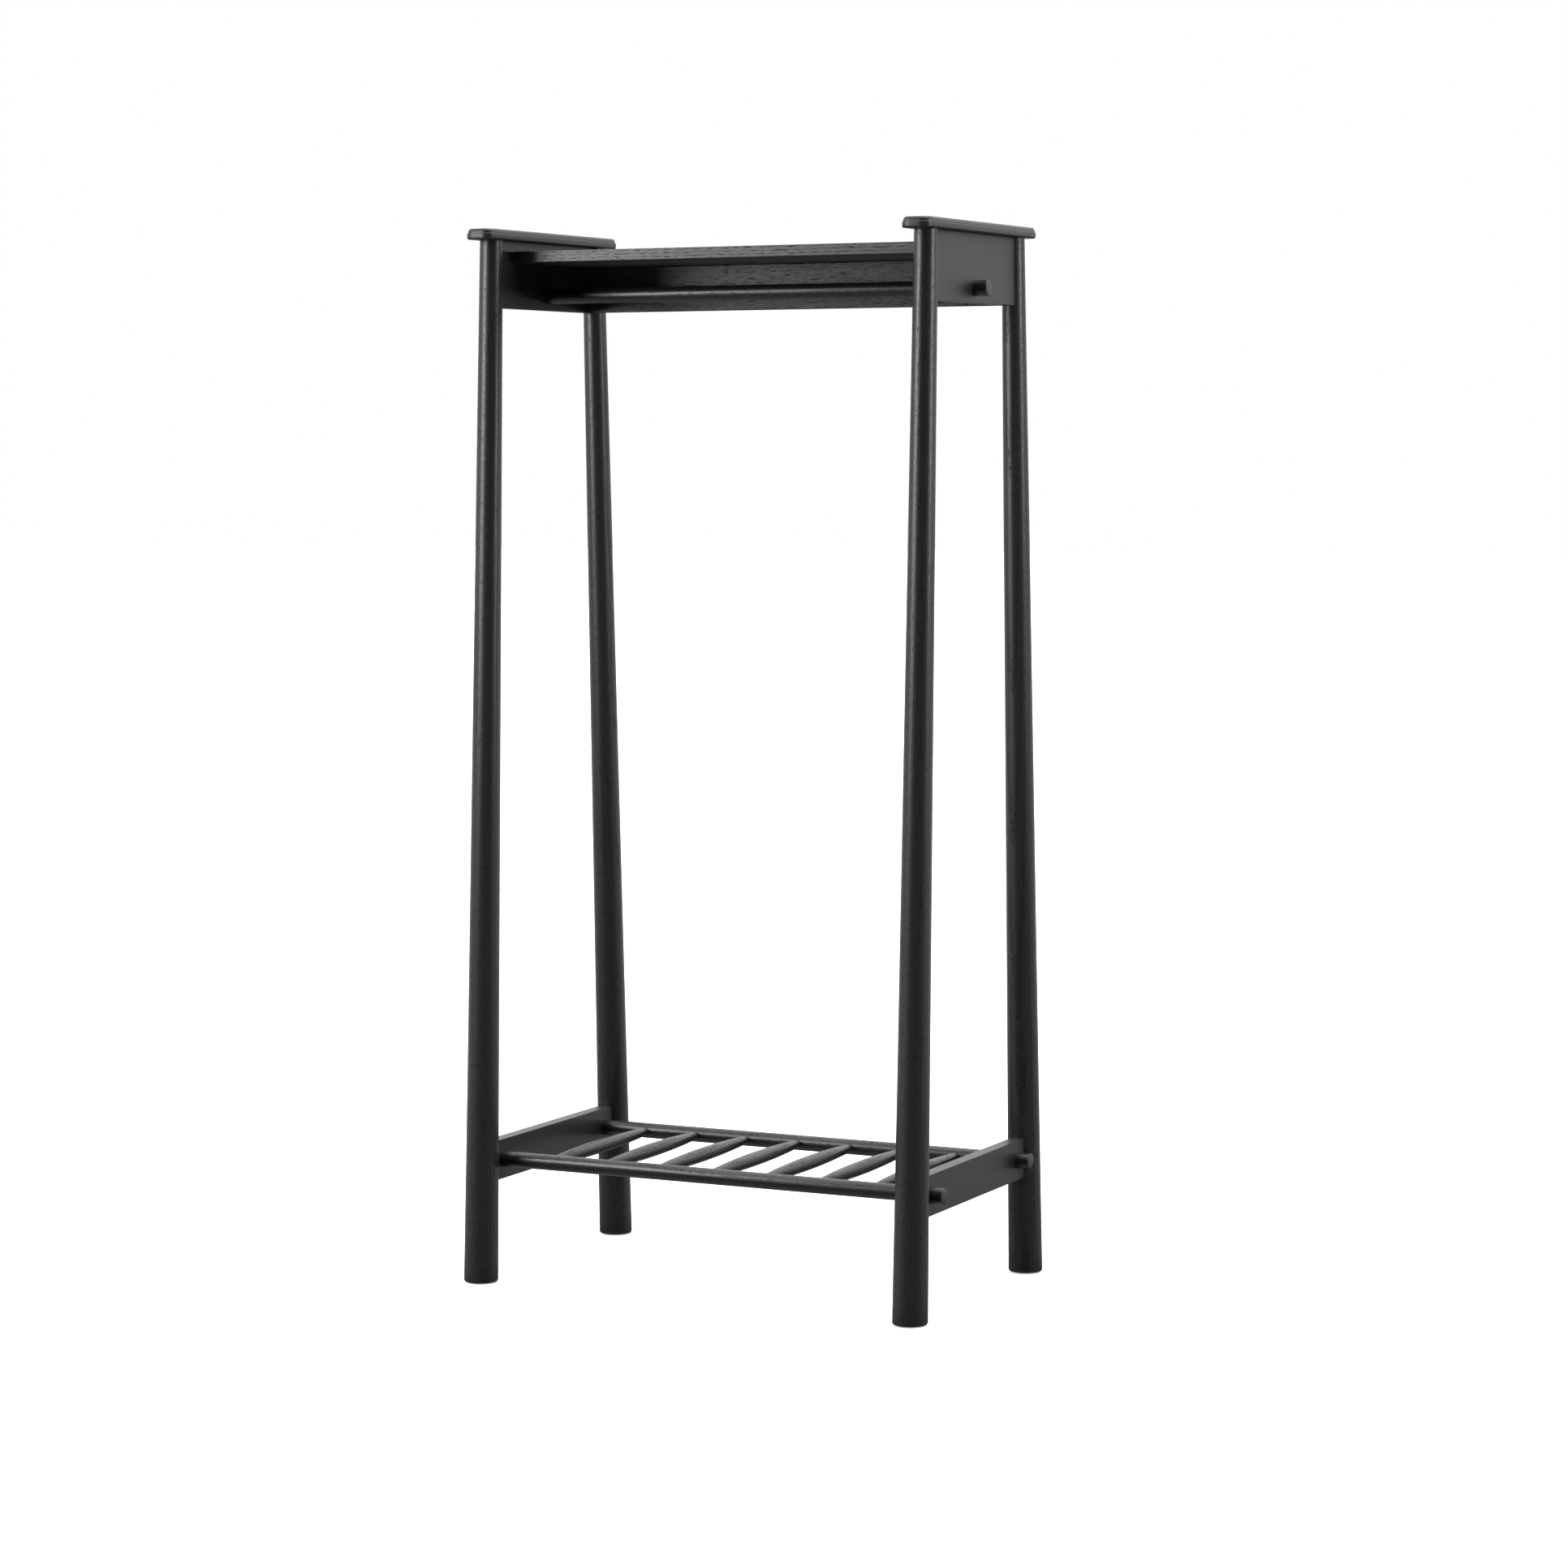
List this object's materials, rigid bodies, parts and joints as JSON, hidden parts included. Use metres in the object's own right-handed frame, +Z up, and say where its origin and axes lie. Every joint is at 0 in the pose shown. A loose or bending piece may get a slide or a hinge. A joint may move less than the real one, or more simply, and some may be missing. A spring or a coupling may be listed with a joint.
{
  "type": "open clothes stand",
  "caption": "Free-standing open clothes stand: leaning turned legs in two side frames, a shelf with a rear apron, a hanging rod and a slatted shoe rack near the floor.",
  "frame": {"origin": "on the floor, under the middle of the stand", "axes": "+Z up, +X to the right seen from the front, -Y towards the front"},
  "size_m": [0.831, 0.5136, 1.7],
  "materials": {
    "legs": "black-stained ash, satin lacquer, open vertical grain",
    "caps": "black-stained ash, satin lacquer, moulded edge",
    "panels": "black-stained ash board, satin lacquer, fine grain",
    "shelf_boards": "black-stained ash board, satin lacquer, open lengthwise grain",
    "rods": "black-stained ash rod, satin lacquer, lengthwise grain",
    "lower_rails": "black-stained ash board, satin lacquer, fine grain",
    "slats": "black-stained ash spindle, satin lacquer",
    "dowels": "plain beech, glued inside the joints",
    "pins": "black-stained hardwood pin",
    "glides": "moulded black nylon, matt"
  },
  "bodies": {
    "root": {"leg_front_left": "legs", "leg_front_right": "legs", "leg_rear_left": "legs", "leg_rear_right": "legs", "cap_left": "caps", "cap_right": "caps", "side_panel_left": "panels", "side_panel_right": "panels", "shelf": "shelf_boards", "rear_apron": "shelf_boards", "hanging_rod": "rods", "lower_rail_left": "lower_rails", "lower_rail_right": "lower_rails", "rack_rod_front": "rods", "rack_rod_rear": "rods", "slat_1": "slats", "slat_2": "slats", "slat_3": "slats", "slat_4": "slats", "slat_5": "slats", "slat_6": "slats", "slat_7": "slats", "cap_dowels": "dowels", "panel_dowels": "dowels", "rail_dowels": "dowels", "apron_dowels": "dowels", "shelf_dowels": "dowels", "rod_pins": "pins", "rack_pins": "pins", "foot_glides": "glides"}
  },
  "joints": []
}
